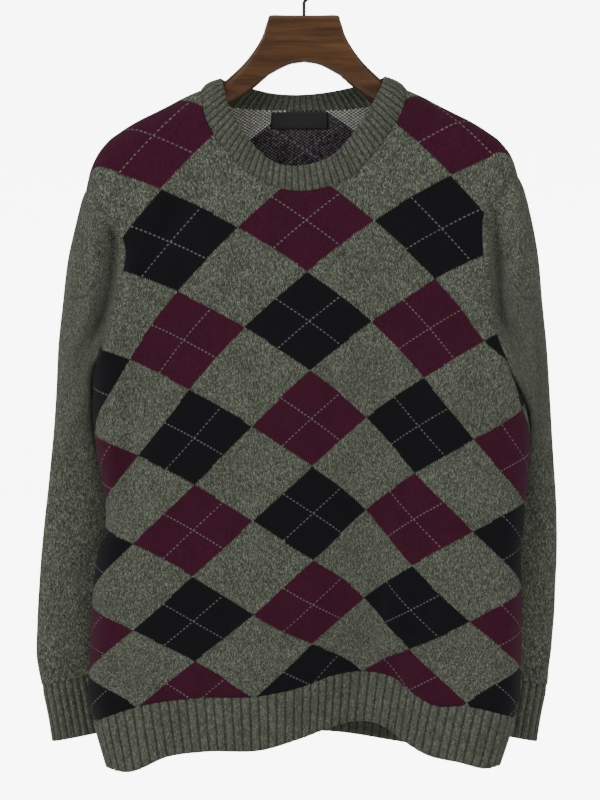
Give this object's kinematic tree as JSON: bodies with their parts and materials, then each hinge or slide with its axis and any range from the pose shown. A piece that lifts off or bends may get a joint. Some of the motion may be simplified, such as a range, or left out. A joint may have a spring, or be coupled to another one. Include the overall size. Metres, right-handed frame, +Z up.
{
  "type": "argyle sweater on a wooden hanger",
  "caption": "Crew-neck sweater in a diamond argyle knit with plain sleeves and ribbed edges, hung empty on a flat wooden hanger with a wire hook.",
  "frame": {"origin": "inner top of the hook, where it rests on a rail", "axes": "+Z up, +X to the right as seen from the front, and the front of the sweater faces -Y"},
  "size_m": [0.527, 0.0888, 0.8205],
  "materials": {
    "argyle_knit": "knitted wool, matt with a soft nap",
    "marl_knit": "knitted flecked wool, matt with a soft nap",
    "rib_knit": "rib-knitted flecked wool, matt",
    "label_weave": "woven tape, matt",
    "hanger_wood": "dark stained wood, satin varnish",
    "hook_metal": "black coated steel wire, satin"
  },
  "bodies": {
    "root": {"front": "argyle_knit", "back": "argyle_knit", "sleeve_left": "marl_knit", "sleeve_right": "marl_knit", "cuff_left": "rib_knit", "cuff_right": "rib_knit", "hem_rib_front": "rib_knit", "hem_rib_back": "rib_knit", "collar": "rib_knit", "neck_label": "label_weave", "hanger": "hanger_wood", "hanger_hook": "hook_metal"}
  },
  "joints": []
}
